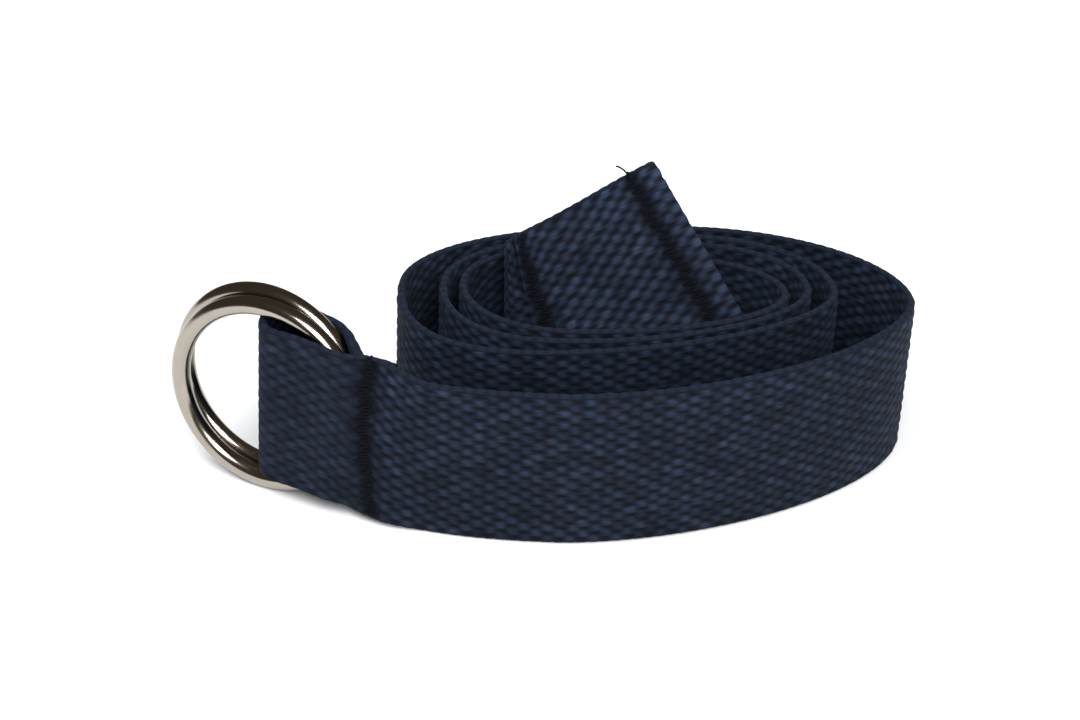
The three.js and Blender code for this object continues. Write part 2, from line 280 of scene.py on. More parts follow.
def straight_rib(middle, up, width=WEBBING_WIDTH):
    return middle + HEIGHTS[:, None] * up * width / 2


def even_points(curve, step):
    """Points at even distances along curve(share), without its first, each with its share."""
    fine = np.array([curve(share) for share in np.linspace(0, 1, CURVE_SAMPLES)])
    travelled = np.concatenate([[0], np.cumsum(np.linalg.norm(np.diff(fine, axis=0), axis=1))])
    count = max(2, round(travelled[-1] / step))
    shares = np.arange(1, count + 1) / count
    reached = shares * travelled[-1]
    points = np.stack([np.interp(reached, travelled, fine[:, a]) for a in range(3)], axis=1)
    return points, shares


def blend_point(start, leaving, end, arriving, share, fullness=1 / 3):
    """A point on a smooth curve that leaves and arrives in the given directions."""
    pull = np.linalg.norm(end - start) * fullness
    a, b, c, d = start, start + leaving * pull, end - arriving * pull, end
    rest = 1 - share
    return a * rest**3 + 3 * b * share * rest**2 + 3 * c * share**2 * rest + d * share**3


def leaning_up(direction, lean):
    """The webbing's upward direction where it runs along direction and leans back by lean."""
    upright = unit(UP - direction * UP.dot(direction))
    return upright * math.cos(lean) - np.cross(direction, upright) * math.sin(lean)


print(RIB_POINTS, "points on each rib")

# %% [markdown]
# ## The loop that holds the rings
# The end of the strap is folded round the rings and sewn to itself. Beside the rings the two
# layers stand apart by the wires' thickness. Further on the back layer hugs the wire, and the
# front one closes gradually towards the seam. The fold rides over the wires, which lifts the
# strap's lower edge off the table there, and the cloth leans back a little at the seam. A cloth
# simulation could find such a shape, but distances from the wire and the seam give it directly.

# %% Ring loop
LOOP_STEP = 1.0
FOLD_STEPS = 24
loop_axis = towards(LOOP_HEADING)
loop_side = np.cross(UP, loop_axis)
fold_start = FOLD_PLACE + WEBBING_THICKNESS / 2
tail_end = SEAM_PLACE + TAIL_PAST_SEAM


def loop_lift(along, side):
    start = 0 if side > 0 else RING_MIDDLE / 3
    end = tail_end if side > 0 else SEAM_PLACE + LEAN_FADE
    return FOLD_LIFT * (1 - smooth((along - start) / (end - start)))


def loop_lean(along):
    rise = smooth((along - RING_MIDDLE) / (SEAM_PLACE - RING_MIDDLE))
    fall = smooth((along - SEAM_PLACE) / LEAN_FADE)
    return mix(RING_LEAN, SEAM_LEAN, rise) * (1 - fall)


def loop_closed(along, z, side):
    """From 0 beside the rings to 1 where the two layers lie together."""
    off_middle = np.abs(z - RING_OUTSIDE)
    if side > 0:
        off_middle = np.minimum(off_middle, CLOSING_HEIGHT * RING_MIDDLE)
        from_wire = np.hypot(along + RING_PAIR_STAGGER / 2, off_middle) - RING_MIDDLE
        return smooth((from_wire - BACK_OPENING) / BACK_CLOSING)
    off_middle = np.maximum(off_middle - RING_WIRE / 3, 0)
    ring_reach = np.sqrt(RING_OUTSIDE**2 - off_middle**2) + RING_PAIR_STAGGER / 2
    start = ring_reach - RING_WIRE / 4
    return smooth((along - start) / (SEAM_PLACE + 1 - start))


def loop_rib(along, side):
    lean = loop_lean(along)
    up = HEIGHTS * WEBBING_WIDTH / 2
    z = loop_lift(along, side) + WEBBING_WIDTH / 2 + up * math.cos(lean)
    closed = loop_closed(along, z, side)
    in_nose = min(max((along - fold_start) / FOLD_NOSE, 0), 1)
    rounding = math.sqrt(1 - (1 - in_nose) ** 2)
    from_middle = side * rounding * mix(LOOP_HALF, LAYER_PITCH / 2, closed) - SEAM_SHIFT * closed
    points = along * loop_axis + (from_middle + up * math.sin(lean))[:, None] * loop_side
    points[:, 2] = z
    return points


nose_angles = [k / FOLD_STEPS * math.pi / 2 for k in range(1, FOLD_STEPS + 1)]
nose_places = [fold_start + FOLD_NOSE * (1 - math.cos(angle)) for angle in nose_angles]
side_count = round((tail_end - fold_start - FOLD_NOSE) / LOOP_STEP)
side_shares = [k / side_count for k in range(1, side_count + 1)]
side_places = [mix(fold_start + FOLD_NOSE, tail_end, share) for share in side_shares]
layer_places = nose_places + side_places
ribs = [loop_rib(along, 1) for along in reversed(layer_places)]
ribs.append(loop_rib(fold_start, 0))
ribs += [loop_rib(along, -1) for along in layer_places]
LOOP_RIBS = len(ribs)
print(LOOP_RIBS, "ribs in the loop")

# %% [markdown]
# ## The coil
# A webbing belt that is wound by hand makes ovals that are neither circles nor boxes. Each
# quarter of a turn here runs from a place on one side to a place on the next, along a curve
# between an ellipse and a rectangle, and each turn keeps clear of the one outside it.

# %% Coil
COIL_STEP = 2.0


def quarter_ends():
    insets = dict.fromkeys(SIDE_ORDER, WEBBING_THICKNESS / 2)
    ends = []
    for side, place, room, _ in QUARTER_TURNS:
        insets[side] += room * COIL_DEPTH
        x = COIL_LEFT + place * COIL_LENGTH
        y = COIL_FRONT + place * COIL_DEPTH
        spot = {
            "front": (x, COIL_FRONT + insets["front"]),
            "right": (COIL_LEFT + COIL_LENGTH - insets["right"], y),
            "back": (x, COIL_FRONT + COIL_DEPTH - insets["back"]),
            "left": (COIL_LEFT + insets["left"], y),
        }[side]
        insets[side] += LAYER_PITCH
        ends.append(np.array([*spot, WEBBING_WIDTH / 2]))
    return ends


def quarter_point(start, end, to_side, fullness, lift, share):
    angle = share * math.pi / 2
    far = math.sin(angle) ** (2 / fullness)
    near = 1 - max(math.cos(angle), 0.0) ** (2 / fullness)
    x = mix(start[0], end[0], far if to_side else near)
    y = mix(start[1], end[1], near if to_side else far)
    return np.array([x, y, start[2] + lift * share**2])


def approach_ribs(first_end):
    start = tail_end * loop_axis - (LAYER_PITCH / 2 + SEAM_SHIFT) * loop_side + UP * WEBBING_WIDTH / 2
    reach = (first_end - start).dot(loop_axis)
    curve = lambda share: blend_point(start, loop_axis, first_end, towards(0), share)
    points, shares = even_points(curve, COIL_STEP)
    made = []
    for point, share in zip(points, shares):
        along = tail_end + reach * share
        lean = loop_lean(along)
        up = UP * math.cos(lean) + loop_side * math.sin(lean)
        made.append(straight_rib(point + UP * loop_lift(along, -1), up))
    return made


def quarter_ribs(start, end, row, lift):
    side, _, _, fullness = row
    to_side = side in ("right", "left")
    curve = lambda share: quarter_point(start, end, to_side, fullness, lift, share)
    points, _ = even_points(curve, COIL_STEP)
    before = np.vstack([curve(0), points[:-1]])
    ahead = np.vstack([points[1:], 2 * points[-1] - points[-2]])
    return [straight_rib(p, leaning_up(unit(a - b), 0)) for p, b, a in zip(points, before, ahead)]


ends = quarter_ends()
ribs += approach_ribs(ends[0])
turn_starts = [len(ribs) - 1]
for k in range(1, len(ends)):
    last = k == len(ends) - 1
    ribs += quarter_ribs(ends[k - 1], ends[k], QUARTER_TURNS[k], LAST_LIFT if last else 0.0)
    if QUARTER_TURNS[k][0] == "left":
        turn_starts.append(len(ribs) - 1)
print("ribs so far:", len(ribs), "of which turns start at", turn_starts)

# %% [markdown]
# ## The free end
# The strap leaves the innermost turn on the left, bends to the right and climbs, and lies back
# until its face looks up at the camera. It could be posed by hand, but ribs that blend from the
# one known direction to the other make a smooth bend. The last stretch is flat, because it is
# doubled: the tip is folded over towards the front and sewn down. A real hem is a little wider
# than the webbing, since the folded layers bulge at the tip.

# %% Free end
RISE_STEP = 1.5
FLAT_STEP = 2.0
HEM_FOLD_STEPS = 12
free_direction = towards(FREE_END_HEADING, FREE_END_RISE)
flat_start = TIP_MIDDLE - free_direction * FLAT_LENGTH
flat_up = leaning_up(free_direction, FREE_END_LEAN)
flat_face = np.cross(free_direction, flat_up)
tip_up = flat_up - free_direction * math.tan(TIP_SKEW)
fold_radius = LAYER_PITCH / 2
flat_length = FLAT_LENGTH - fold_radius - WEBBING_THICKNESS / 2


def rising_ribs():
    start = ends[-1] + UP * LAST_LIFT
    leaving = np.array([0.0, -math.cos(RISE_START), math.sin(RISE_START)])
    ends_of_bend = (start, leaving, flat_start, free_direction)
    curve = lambda share: blend_point(*ends_of_bend, share, RISE_FULLNESS)
    points, shares = even_points(curve, RISE_STEP)
    start_up = leaning_up(leaving, 0)
    ups = [unit(mix(start_up, flat_up, smooth(share))) for share in shares]
    return [straight_rib(point, up) for point, up in zip(points, ups)]


def flat_rib(from_start, off_face):
    towards_tip = smooth(from_start / FLAT_LENGTH)
    up = mix(flat_up, tip_up, towards_tip)
    middle = flat_start + free_direction * from_start + flat_face * off_face
    return straight_rib(middle, up, WEBBING_WIDTH * (1 + HEM_FLARE * towards_tip))


def normals_of(grid):
    return unit(np.cross(np.gradient(grid, axis=0), np.gradient(grid, axis=1)))


def free_end_ribs():
    count = round(flat_length / FLAT_STEP)
    layer = rising_ribs() + [flat_rib(flat_length * (k + 1) / count, 0) for k in range(count)]
    fold = []
    for k in range(1, HEM_FOLD_STEPS):
        angle = k / HEM_FOLD_STEPS * math.pi
        from_start = flat_length + fold_radius * math.sin(angle)
        fold.append(flat_rib(from_start, fold_radius * (1 - math.cos(angle))))
    layer_grid = np.array(layer)
    lifted = layer_grid + normals_of(layer_grid) * LAYER_PITCH
    turned, from_tip, middle = [], 0.0, RIB_POINTS // 2
    for i in range(len(layer) - 1, 0, -1):
        turned.append(lifted[i])
        from_tip += np.linalg.norm(layer_grid[i, middle] - layer_grid[i - 1, middle])
        if from_tip >= HEM_LENGTH:
            break
    return layer, fold, turned


layer, fold, turned = free_end_ribs()
turn_starts.append(len(ribs) + len(layer) + len(fold) + len(turned) - 1)
TIP_RIB = len(ribs) + len(layer) + len(fold) // 2
ribs = np.array(ribs + layer + fold + turned)
print("the whole strap has", len(ribs), "ribs")

# %% [markdown]
# ## From ribs to threads
# First the drawn belt is moved to its place, which is read from the box of the imported front ring,
# so that the drawn strap and the solid one share it. The weave is finer than the ribs, so the ribs
# are then resampled: a smooth curve through them gives a new row for every eighth part of a weave
# cell. The rows could sit at even steps everywhere, but the tight fold at the tip needs more.

# %% Where the belt stands
def ring_frame(side):
    """Centre and the two directions in the plane of a ring: side -1 is the front ring."""
    heading = LOOP_HEADING - side * RING_PAIR_SPLAY / 2
    centre = loop_side * side * RING_PAIR_SPACING / 2 - loop_axis * side * RING_PAIR_STAGGER / 2
    centre = centre + UP * (RING_MIDDLE * math.cos(RING_LEAN) + RING_WIRE / 2)
    tilt = math.sin(RING_LEAN)
    rising = np.array([-math.sin(heading) * tilt, math.cos(heading) * tilt, math.cos(RING_LEAN)])
    return centre, towards(heading), rising


ring_low, ring_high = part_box("ring_front")
belt_place = np.array((ring_low + ring_high) / 2) / MM - ring_frame(-1)[0]
belt_place[2] = 0.0
ribs = ribs + belt_place
print("belt stands at", belt_place.round(1), "mm")

# %% Fine middle surface
CELL_LENGTH = 5.06
ROWS_PER_CELL = 8
FOLD_FINENESS = 3
FOLD_REACH = 4.0

middle_line = ribs[:, RIB_POINTS // 2]
rib_stations = np.concatenate([[0], np.cumsum(np.linalg.norm(np.diff(middle_line, axis=0), axis=1))])
strap_length = rib_stations[-1]
tip_station = rib_stations[TIP_RIB]


def row_stations():
    row_step = CELL_LENGTH / ROWS_PER_CELL
    rows = np.arange(0, strap_length, row_step)
    near_tip = np.abs(rows - tip_station) < FOLD_REACH
    fine = np.arange(rows[near_tip][0], rows[near_tip][-1], row_step / FOLD_FINENESS)
    return np.unique(np.concatenate([rows[~near_tip], fine, [strap_length]]))


def resampled(grid, known, wanted):
    """A smooth curve through every rib, read at the wanted stations."""
    slopes = np.gradient(grid, known, axis=0)
    k = np.clip(np.searchsorted(known, wanted, side="right") - 1, 0, len(known) - 2)
    span = (known[k + 1] - known[k])[:, None, None]
    t = (wanted - known[k])[:, None, None] / span
    a, b, m, n = grid[k], grid[k + 1], slopes[k] * span, slopes[k + 1] * span
    from_start = a * (1 + 2 * t) * (1 - t) ** 2 + m * t * (1 - t) ** 2
    return from_start + b * t**2 * (3 - 2 * t) + n * t**2 * (t - 1)


stations = row_stations()
surface = resampled(ribs, rib_stations, stations)
along_normals = unit(np.cross(np.gradient(surface, stations, axis=0), np.gradient(surface, axis=1)))
across_strap = unit(np.gradient(surface, axis=1))
print("strap", round(strap_length), "mm long,", len(stations), "rows, tip at", round(tip_station))

# %% [markdown]
# ## The weave
# Cotton belt webbing is a plain weave with thick warp yarns. Each yarn runs along the strap and
# passes over one weft and under the next, and its neighbour does the opposite. Where a yarn dives
# under, it leaves a small dark pit between the bumps of its neighbours, so the face is a network
# of soft bumps with staggered pits. A bump texture would shade this, but the lumps show in
# outline too, so the relief is real geometry. No two bumps are alike: each has its own tone, and
# the wefts wander a little, which keeps the cloth from looking printed.

# %% Relief of the weave
COLUMNS = 26
POINTS_PER_COLUMN = 4
SELVAGE = 0.7
SWELL = 0.16
SLANT = 0.9
TOP_SHARPNESS = 1.05
SHOULDER_DROP = 0.38
SHOULDER_SHARPNESS = 2.5
PIT_WALL = 0.52
PIT_SHARPNESS = 1.6
WANDER_WAVES = ((23.0, 0.2), (9.0, 0.14), (61.0, 0.25))
BUMP_SPREAD = 0.1
EVEN_TONE = 0.5

column_pitch = (WEBBING_WIDTH - 2 * SELVAGE) / COLUMNS
columns = np.arange(COLUMNS * POINTS_PER_COLUMN + 1) / POINTS_PER_COLUMN
weave_chance = np.random.default_rng(11)
wander_phases = weave_chance.uniform(0, 2 * math.pi, (len(WANDER_WAVES), COLUMNS))
bump_tones = weave_chance.random((COLUMNS, int(strap_length / CELL_LENGTH) + 3))
bump_heights = weave_chance.normal(1, BUMP_SPREAD, bump_tones.shape)


def yarn_phase(station, column):
    """Where a yarn is in its wave over and under the wefts, in whole cells."""
    yarn = np.minimum(column.astype(int), COLUMNS - 1)
    place = station + SLANT * (column - yarn - 0.5)
    for (length, reach), phases in zip(WANDER_WAVES, wander_phases):
        place = place + reach * np.sin(2 * math.pi * station / length + phases[yarn])
    return place / CELL_LENGTH + 0.5 * (yarn % 2)


def on_top(phase, face):
    """How far a yarn is on the outer face (1) or the inner one (-1), from 0 to 1."""
    return 0.5 + 0.5 * face * np.cos(2 * math.pi * phase)


def weave_relief(station, column, face):
    """Height from 0, in the pits, to 1 on the crowns, and each bump's tone."""
    phase = yarn_phase(station, column)
    yarn = np.minimum(column.astype(int), COLUMNS - 1)
    nearest = np.round(phase if face == 1 else phase - 0.5).astype(int) + 1
    bump = np.clip(nearest, 0, bump_tones.shape[1] - 1)
    off_centre = np.abs(2 * (column - yarn) - 1)
    crown = (1 - SHOULDER_DROP * off_centre**SHOULDER_SHARPNESS) * bump_heights[yarn, bump]
    pit = PIT_WALL * off_centre**PIT_SHARPNESS
    risen = on_top(phase, face) ** TOP_SHARPNESS
    return mix(pit, crown, risen), bump_tones[yarn, bump]


def sideways(station, column, face):
    """How far a point between two yarns is pushed across, in columns."""
    return -face * SWELL * np.cos(math.pi * column) * np.cos(2 * math.pi * station / CELL_LENGTH)


print(COLUMNS, "warp yarns,", round(column_pitch, 2), "mm apart")

# %% [markdown]
# ## Where the seams run
# The loop is closed by one line of stitches, and the hem by two: one beside the tip and one beside
# the raw edge. A seam goes through both layers, so each has a station on the front layer and one
# on the back. Straight lines would look drawn: a real one drifts off square and wavers, so a
# seam's place depends on the height too. Its stitches and the dent that they press into the cloth
# both ask for it here.

# %% Seam lines
SEAM_REACH = 2.2
SEAM_DRIFT = {
    "loop_front": (0.5, -2.4),
    "loop_back": (-0.5, 2.4),
    "hem_front": (2.1, 4.6),
    "hem_back": (-2.1, -4.6),
}
DRIFT_HEIGHT = 0.55 * WEBBING_WIDTH
SLOW_WAVER = 0.4
SLOW_RATE = 0.75
QUICK_WAVER = 0.3
QUICK_RATE = 1.9
TIP_SEAM = 6.6
HEM_SEAM = 34.5

seam_stations = {
    "loop_back": TAIL_PAST_SEAM,
    "loop_front": np.interp(LOOP_RIBS - 1, np.arange(len(ribs)), rib_stations) - TAIL_PAST_SEAM,
    "tip_back": tip_station - TIP_SEAM,
    "tip_front": tip_station + TIP_SEAM,
    "hem_back": tip_station - HEM_SEAM,
    "hem_front": tip_station + HEM_SEAM,
}


def seam_place(name, height):
    """A seam's station at a height, with its drift off square and its waver."""
    low, high = SEAM_DRIFT.get(name, (0.0, 0.0))
    drift = mix(low, high, smooth(height / DRIFT_HEIGHT))
    slow = SLOW_WAVER * np.sin(SLOW_RATE * height + low)
    wobble = slow + QUICK_WAVER * np.sin(QUICK_RATE * height + seam_stations[name])
    return seam_stations[name] + drift + wobble


def beside_seam(station, height):
    """Near 1 on a line of stitches, falling to 0 at a few times the reach."""
    from_seams = [(station - seam_place(name, height)) / SEAM_REACH for name in seam_stations]
    return np.minimum(sum(np.exp(-(away**2)) for away in from_seams), 1)


print("seams at", {name: round(float(station)) for name, station in seam_stations.items()})

# %% [markdown]
# ## The two faces and the selvages
# A face is the middle surface pushed out by the weave's height. Near a seam the stitches press it
# in, and the cloth there is darkened with painted shade. Over the tight folds, and where the loop
# is pulled round the rings, the bumps flatten. The free end, the tip and the upper edge are
# painted a little paler: painted light, for the light that falls on them, laid along the cloth's
# own stations and heights. The selvages are half rounds with a small lump at each weft.

# %% Painted light and calmer folds
FLAT_RELIEF = 0.55
LOOP_FOLD_REACH = 4.0
LOOP_FOLD_CALM = 0.6
LOOP_CALM = 0.3
# Painted light: how much paler the tip, the free end and the upper edge are painted, and over what
# reach.
TIP_PAINTED_LIGHT = 0.6
TIP_LIGHT_REACH = 7.5
FREE_END_PAINTED_LIGHT = 0.3
FREE_END_LIGHT_LENGTH = 90.0
FREE_END_LIGHT_FADE = 40.0
UPPER_EDGE_PAINTED_LIGHT = 0.3
UPPER_EDGE_LIGHT_START = 0.76 * WEBBING_WIDTH
UPPER_EDGE_LIGHT_FADE = 0.2 * WEBBING_WIDTH
loop_fold_station = float(rib_stations[LOOP_RIBS // 2])


# Painted light: raises the tone near the tip, over the free end and along the upper edge.
def with_painted_light(tone, station, heights):
    tone = tone + TIP_PAINTED_LIGHT * smooth(2 - 2 * np.abs(station - tip_station) / TIP_LIGHT_REACH)
    tone = tone + FREE_END_PAINTED_LIGHT * smooth((station - tip_station + FREE_END_LIGHT_LENGTH) / FREE_END_LIGHT_FADE)
    return tone + UPPER_EDGE_PAINTED_LIGHT * smooth((heights - UPPER_EDGE_LIGHT_START) / UPPER_EDGE_LIGHT_FADE)


def calmed(relief, tone, station, heights):
    """The outer face's relief and tone, evened out over the two folds and the loop."""
    at_fold = smooth(2 - np.abs(station - tip_station) / (FOLD_REACH / 2))
    at_loop = LOOP_FOLD_CALM * smooth(2 - np.abs(station - loop_fold_station) / LOOP_FOLD_REACH)
    pulled = (station > loop_fold_station) & (station < seam_place("loop_front", heights))
    at_loop = np.maximum(at_loop, LOOP_CALM * pulled)
    return mix(relief, FLAT_RELIEF, np.maximum(at_fold, at_loop)), mix(tone, EVEN_TONE, at_fold)


print("the fold round the rings is", round(loop_fold_station), "mm from the tail's end")

# %% Points of the two faces
CROWN = 1.04
RELIEF = 0.34
EDGE_RELIEF = 0.35
SEAM_PINCH = 0.34
# Painted shade beside the seams: SEAM_SHADE lowers the tone there and the relief, which also darkens
# the colour.
SEAM_SHADE = 0.72
SEAM_WOBBLE = 0.5
WOBBLE_RATE = 1.1


def at_columns(grid, heights):
    place = (heights / WEBBING_WIDTH) * (RIB_POINTS - 1)
    k = np.clip(place.astype(int), 0, RIB_POINTS - 2)
    t = (place - k)[None, :, None]
    return grid[:, k] * (1 - t) + grid[:, k + 1] * t


def face_points(face):
    station = stations[:, None]
    heights = SELVAGE + columns * column_pitch
    column = np.broadcast_to(columns[None, :], (len(station), len(columns)))
    relief, tone = weave_relief(station, np.clip(column, 0, COLUMNS - 1e-6), face)
    relief[:, [0, -1]] = EDGE_RELIEF
    if face == 1:
        relief, tone = calmed(relief, tone, station, heights)
    interior = (columns > 0) & (columns < COLUMNS)
    shift = sideways(station, column, face) * column_pitch * interior
    near_seam = beside_seam(station, heights)
    wavering = beside_seam(station + SEAM_WOBBLE * np.sin(column * WOBBLE_RATE), heights)
    # Painted shade beside the seams and painted light at the tip, the free end and the upper edge
    # both go into the tone.
    tone = with_painted_light(tone, station, heights) * (1 - SEAM_SHADE * wavering)
    relief = relief * (1 - SEAM_SHADE * near_seam)
    offset = (CROWN - RELIEF + RELIEF * relief) * (1 - SEAM_PINCH * near_seam)
    out = at_columns(along_normals, heights) * (face * offset)[..., None]
    points = at_columns(surface, heights) + out + at_columns(across_strap, heights) * shift[..., None]
    return points, relief, tone, offset


print("crowns", CROWN, "mm from the middle and pits", round(CROWN - RELIEF, 2), "mm")

# %% Points of the selvages and the whole cloth
EDGE_POINTS = 5
EDGE_LUMP = 0.2
EDGE_NARROW = 0.84
EDGE_BLUNTNESS = 0.7
EDGE_CONTRAST = 1.2


def edge_points(end, outer_offset, inner_offset):
    """The rounded selvage at the lower (end 0) or upper (end 1) edge, from the outer face."""
    k = end * (RIB_POINTS - 1)
    sign = 2 * end - 1
    across = across_strap[:, k]
    base = surface[:, k] - across * sign * SELVAGE
    normal = along_normals[:, k]
    wefts = np.abs(np.cos(2 * math.pi * stations / CELL_LENGTH))
    lump = EDGE_NARROW + EDGE_LUMP * wefts**EDGE_BLUNTNESS
    made = []
    for j in range(1, EDGE_POINTS + 1):
        angle = math.pi / 2 - j / (EDGE_POINTS + 1) * math.pi
        thickness = outer_offset if angle > 0 else inner_offset
        outward = across * (sign * SELVAGE * lump * math.cos(angle))[:, None]
        made.append(base + outward + normal * (thickness * math.sin(angle))[:, None])
    # The selvage's relief also sets its colour: painted light on each lump, painted shade between
    # them.
    relief = np.tile(0.5 + EDGE_CONTRAST * (lump - EDGE_NARROW)[:, None], (1, EDGE_POINTS))
    return np.stack(made, axis=1), relief


def around_strap(outer, top, inner, bottom):
    return np.concatenate([outer, top, inner[:, ::-1], bottom[:, ::-1]], axis=1)


def whole_cloth():
    """Points, relief, tone and normals of the strap: one closed ring of points for each row."""
    outer, outer_relief, outer_tone, outer_offset = face_points(1)
    inner, inner_relief, inner_tone, inner_offset = face_points(-1)
    top, top_relief = edge_points(1, outer_offset[:, -1], inner_offset[:, -1])
    bottom, bottom_relief = edge_points(0, outer_offset[:, 0], inner_offset[:, 0])
    points = around_strap(outer, top, inner, bottom)
    relief = around_strap(outer_relief, top_relief, inner_relief, bottom_relief)
    even = np.full(top_relief.shape, EVEN_TONE)
    tone = around_strap(outer_tone, even, inner_tone, even)
    around = np.roll(points, -1, axis=1) - np.roll(points, 1, axis=1)
    normals = unit(np.cross(np.gradient(points, axis=0), around))
    return points, relief, tone, normals


cloth = whole_cloth()
print("cloth of", cloth[0].shape[0], "rows of", cloth[0].shape[1], "points")

# %% [markdown]
# ## Building the cloth
# Every row is a closed ring of points: up the outer face, round the upper selvage, down the
# inner face and round the lower selvage. Neighbouring rings are joined by quads. The strap is cut
# into six pieces, one for each turn and each end, which keeps each mesh light. Separate meshes
# would show a line where they meet, so the normals come from the whole strap. Each piece also
# keeps the relief and the tone as numbers on its points, so that the material can paint shade
# into the pits, light onto the crowns and the tone's painted light and shade, and a map of the
# cloth laid flat, for the fibres' streaks.

# %% Caps and meshes
def end_cap(start, faces_along):
    """Faces that close one end ring. They look along the strap or, at its start, against it."""
    across_count, around = len(columns), 2 * (len(columns) + EDGE_POINTS)
    inner_first = across_count + EDGE_POINTS
    mirror = lambda j: inner_first + across_count - 1 - j
    faces = [[j, j + 1, mirror(j + 1), mirror(j)] for j in range(across_count - 1)]
    faces.append(list(range(across_count - 1, inner_first + 1)))
    faces.append([*range(mirror(0), around), 0])
    ordered = faces if not faces_along else [face[::-1] for face in faces]
    return [[start + k for k in face] for face in ordered]


def add_mesh(name, points, faces, flat_faces=0):
    """A smooth-shaded mesh from millimetre points. Its last flat_faces faces stay flat."""
    mesh = bpy.data.meshes.new(name)
    mesh.from_pydata((np.asarray(points) * MM).tolist(), [], faces)
    shading = np.ones(len(faces), bool)
    if flat_faces:
        shading[-flat_faces:] = False
    mesh.polygons.foreach_set("use_smooth", shading)
    thing = bpy.data.objects.new(name, mesh)
    bpy.context.scene.collection.objects.link(thing)
    return thing


def add_values(thing, label, values):
    """Numbers on the points of a mesh, for its material."""
    attribute = thing.data.attributes.new(label, "FLOAT", "POINT")
    attribute.data.foreach_set("value", values.astype(np.float32).ravel())


print("an end of a piece is closed by", len(end_cap(0, False)), "faces")

# %% Pieces of the strap
MAP_SCALE = 100
PIECE_NAMES = (
    "strap_loop",
    "strap_outer_turn",
    "strap_second_turn",
    "strap_third_turn",
    "strap_inner_turn",
    "strap_free_end",
)


def add_strap_piece(name, first, last):
    points, relief, tone, normals = (part[first : last + 1] for part in cloth)
    rows, around = relief.shape
    start = np.arange((rows - 1) * around).reshape(rows - 1, around)
    beside = np.roll(start, -1, axis=1)
    quads = np.stack([start, start + around, beside + around, beside], axis=-1).reshape(-1, 4)
    caps = end_cap(0, False) + end_cap((rows - 1) * around, True)
    piece = add_mesh(name, points.reshape(-1, 3), quads.tolist() + caps, len(caps))
    mesh = piece.data
    add_values(piece, "relief", relief)
    add_values(piece, "tone", tone)
    corner = np.zeros(len(mesh.loops), np.int32)
    mesh.loops.foreach_get("vertex_index", corner)
    across = np.arange(around) * column_pitch / POINTS_PER_COLUMN
    laid_flat = np.stack(np.meshgrid(stations[first : last + 1], across, indexing="ij"), axis=-1)
    flat_corners = laid_flat.reshape(-1, 2)[corner].astype(np.float32)
    cloth_map = mesh.uv_layers.new(name="cloth")
    cloth_map.data.foreach_set("uv", flat_corners.ravel() / MAP_SCALE)
    corner_normals = normals.reshape(-1, 3)[corner]
    for face in list(mesh.polygons)[-len(caps) :]:
        corner_normals[face.loop_start : face.loop_start + face.loop_total] = face.normal
    mesh.normals_split_custom_set(corner_normals.tolist())
    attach(piece, "strap")
    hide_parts("strap")
    return piece


turn_rows = [int(np.searchsorted(stations, rib_stations[k])) for k in turn_starts[:-1]]
cuts = [0] + turn_rows + [len(stations) - 1]
strap_pieces = [add_strap_piece(name, a, b) for name, a, b in zip(PIECE_NAMES, cuts, cuts[1:])]
for piece in strap_pieces:
    print(piece.name, len(piece.data.polygons) * 2, "triangles")

# %% [markdown]
# ## The cotton's look
# Dyed cotton is matt and never one colour. The yarns' colour follows the relief: the crowns are
# painted lighter, a painted highlight where the light grazes loose fibres, and the pits are painted
# nearly black, a painted shade between the yarns. Patches lean a little to teal or to violet, and
# short streaks run along each yarn where its fibres lie. The effects are built once as a group of
# nodes, and the thread of the seams uses the same group with other values.

# %% Node helpers
TINT_STOPS = ((0.3, (0.72, 1.02, 1.06, 1)), (0.5, (0.98, 0.98, 1.0, 1)), (0.7, (1.22, 0.97, 1.08, 1)))
TINT_SCALE = 420.0
PATCH_SCALE = 38.0
STREAK_STRETCH = (45.0, 330.0, 1.0)
CROWN_SHARPNESS = 1.8
STREAK_LIGHT = (0.55, 1.45)
PATCH_LIGHT = (0.86, 1.14)
BUMP_LIGHT = (0.6, 1.4)
GROUP_INPUTS = {
    "Float": ("Relief", "Tone", "Tint Strength", "Streak Strength"),
    "Color": ("Pit Color", "Crown Color"),
}


def add_node(tree, kind, inputs, **settings):
    """A new node. Each input is linked to another node's output or set to a plain value."""
    node = tree.nodes.new("ShaderNode" + kind)
    for name, value in settings.items():
        setattr(node, name, value)
    for socket, value in inputs.items():
        if isinstance(value, bpy.types.NodeSocket):
            tree.links.new(value, node.inputs[socket])
        else:
            node.inputs[socket].default_value = value
    return node


def math_node(tree, operation, label, first, second):
    return add_node(tree, "Math", {0: first, 1: second}, operation=operation, label=label).outputs[0]


def noise_node(tree, place, scale, detail):
    noise = add_node(tree, "TexNoise", {"Vector": place, "Scale": scale, "Detail": detail})
    return noise.outputs["Fac"]


def range_node(tree, value, given, wanted, clamped=True):
    """Carries a value from the given range over to the wanted one."""
    ends = {"From Min": given[0], "From Max": given[1], "To Min": wanted[0], "To Max": wanted[1]}
    return add_node(tree, "MapRange", {"Value": value, **ends}, clamp=clamped).outputs["Result"]


def color_mix(tree, share, first, second, blend="MIX"):
    inputs = {"Factor": share, 6: first, 7: second}
    return add_node(tree, "Mix", inputs, data_type="RGBA", blend_type=blend).outputs[2]


print("the group's colours:", GROUP_INPUTS["Color"])

